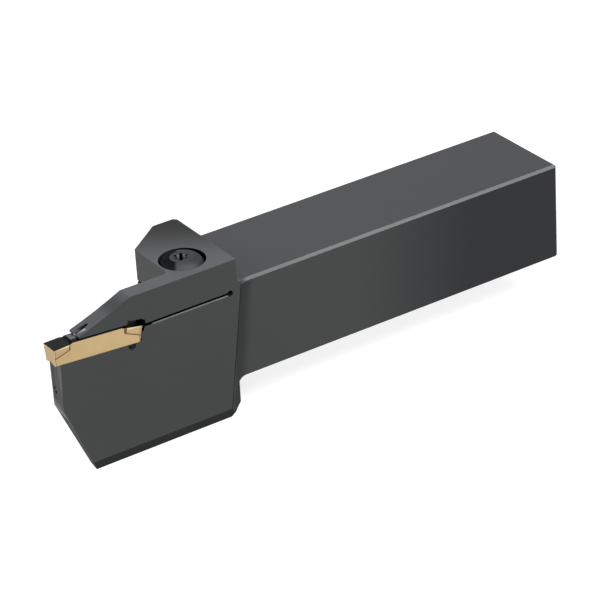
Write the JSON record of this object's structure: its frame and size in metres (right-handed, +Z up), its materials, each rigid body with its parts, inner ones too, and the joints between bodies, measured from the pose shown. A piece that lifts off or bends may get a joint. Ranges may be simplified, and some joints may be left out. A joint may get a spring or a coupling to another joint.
{
  "type": "parting and grooving tool holder",
  "caption": "Square shank lathe tool holder with a thin blade head, a sprung arm clamped by a screw, and a double ended grooving insert that slides into its seat.",
  "frame": {"origin": "centre of the shank's rear end face, at the mouth of the rear coolant port", "axes": "+X out of the shank's rear end along its axis, +Y away from the blade side, +Z up, the way the cutting edge's rake faces"},
  "size_m": [0.14, 0.0261, 0.0413],
  "materials": {
    "holder_steel": "satin black oxide",
    "insert_coating": "fine matt gold coating with dark rakes",
    "screw_steel": "satin black oxide",
    "plug_steel": "satin black oxide"
  },
  "bodies": {
    "holder": {"holder_body": "holder_steel", "port_plug": "plug_steel", "duct_plug": "plug_steel"},
    "insert": {"grooving_insert": "insert_coating"},
    "screw": {"clamping_screw": "screw_steel"}
  },
  "joints": [
    {"name": "insert_slide", "type": "slide", "parent": "holder", "child": "insert", "axis": [-0.9976, 0, 0.0698], "range_m": [0, 0.0235]},
    {"name": "screw_turn", "type": "hinge", "parent": "holder", "child": "screw", "pos_m": [-0.10175, -0.00567, 0.0162], "axis": [0, 0, 1], "range_deg": [0, 720]}
  ]
}
